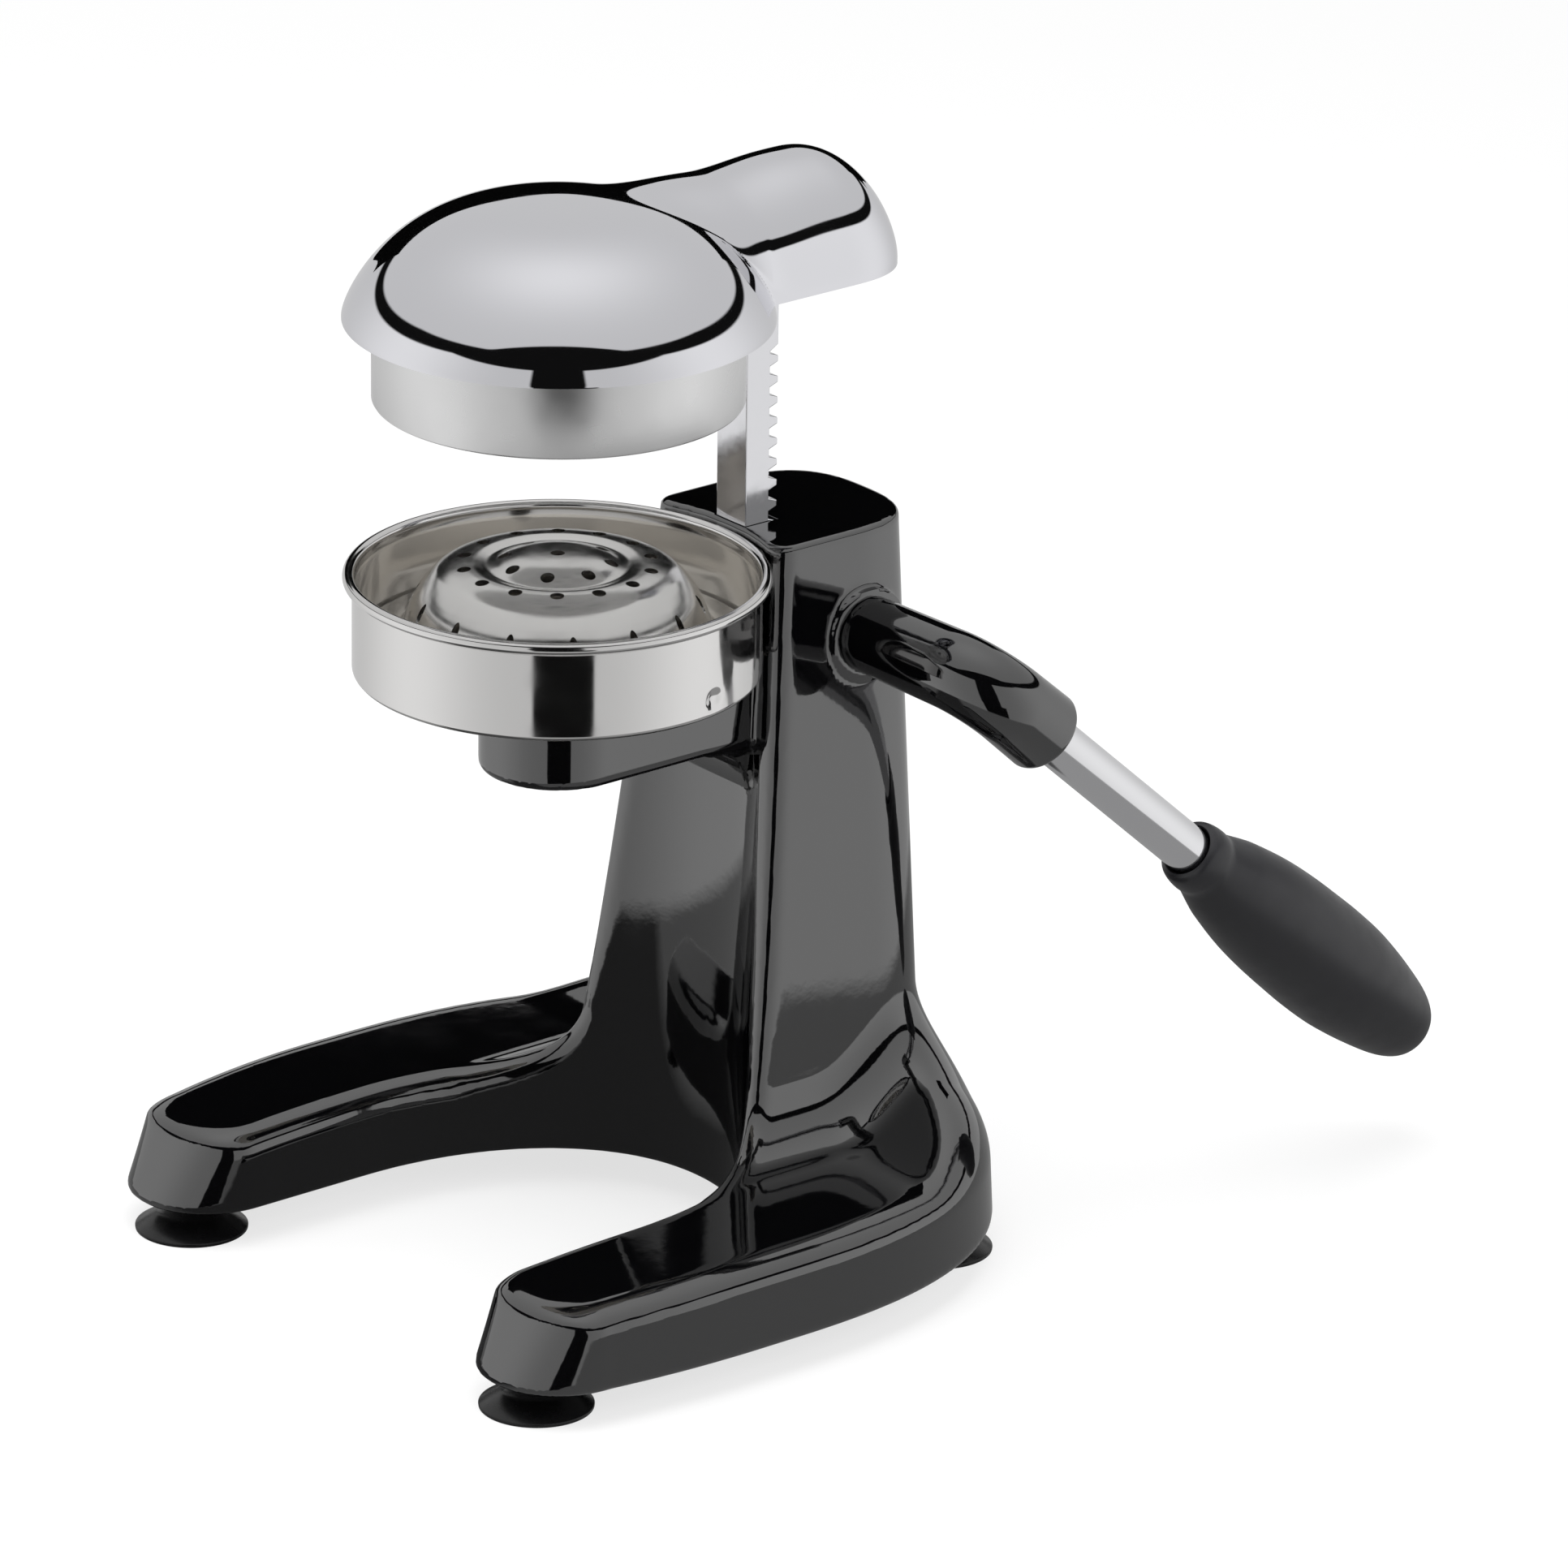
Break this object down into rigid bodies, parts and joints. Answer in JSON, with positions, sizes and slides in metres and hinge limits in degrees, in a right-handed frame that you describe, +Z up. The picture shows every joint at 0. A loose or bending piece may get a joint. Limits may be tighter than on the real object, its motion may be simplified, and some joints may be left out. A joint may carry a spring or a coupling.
{
  "type": "lever citrus juice press",
  "caption": "Hand press for citrus juice: a side lever turns a pinion that drives a rack and domed head down over a strainer set in a lift-out juice cup.",
  "frame": {"origin": "middle of the object's outer box, on the table that the feet stand on", "axes": "+Z up, +Y to the back, away from the open side of the stand, +X to the lever side"},
  "size_m": [0.185, 0.2922, 0.2697],
  "materials": {
    "enamel": "gloss black enamel",
    "chrome": "mirror",
    "steel": "brushed",
    "polished_steel": "polished",
    "gear_steel": "machined, oiled",
    "bronze": "sintered bronze",
    "grip": "matte",
    "rubber": "matte"
  },
  "bodies": {
    "stand": {"stand_casting": "enamel", "suction_foot_front_right": "rubber", "suction_foot_front_left": "rubber", "suction_foot_rear_right": "rubber", "suction_foot_rear_left": "rubber", "bush_right": "bronze", "bush_left": "bronze"},
    "lever": {"pinion_gear": "gear_steel", "pinion_pin": "gear_steel", "gear_spacer": "gear_steel", "pinion_shaft": "gear_steel", "shaft_end_washer": "gear_steel", "shaft_end_screw": "gear_steel", "lever_elbow": "enamel", "elbow_set_screw": "gear_steel", "lever_tube": "polished_steel", "tube_set_screw": "gear_steel", "lever_grip": "grip"},
    "head": {"head_casting": "chrome", "press_ring": "steel", "press_ring_screw": "gear_steel", "rack_bar": "chrome", "rack_pin_upper": "gear_steel", "rack_pin_lower": "gear_steel", "rack_stop_pin": "gear_steel"},
    "cup": {"juice_cup": "polished_steel"},
    "strainer": {"strainer_dome": "polished_steel"}
  },
  "joints": [
    {"name": "lever_turn", "type": "hinge", "parent": "stand", "child": "lever", "pos_m": [0, 0.00156, 0.1532], "axis": [1, 0, 0], "range_deg": [0, 245]},
    {"name": "head_slide", "type": "slide", "parent": "stand", "child": "head", "axis": [0, 0, 1], "range_m": [-0.0542, 0]},
    {"name": "cup_turn", "type": "hinge", "parent": "stand", "child": "cup", "pos_m": [0, -0.07267, 0.155], "axis": [0, 0, 1], "continuous": true},
    {"name": "strainer_turn", "type": "hinge", "parent": "cup", "child": "strainer", "pos_m": [0, -0.07267, 0.161], "axis": [0, 0, 1], "continuous": true}
  ],
  "couplings": [
    {"joint": "head_slide", "follows": "lever_turn", "m_per_rad": -0.012581}
  ]
}
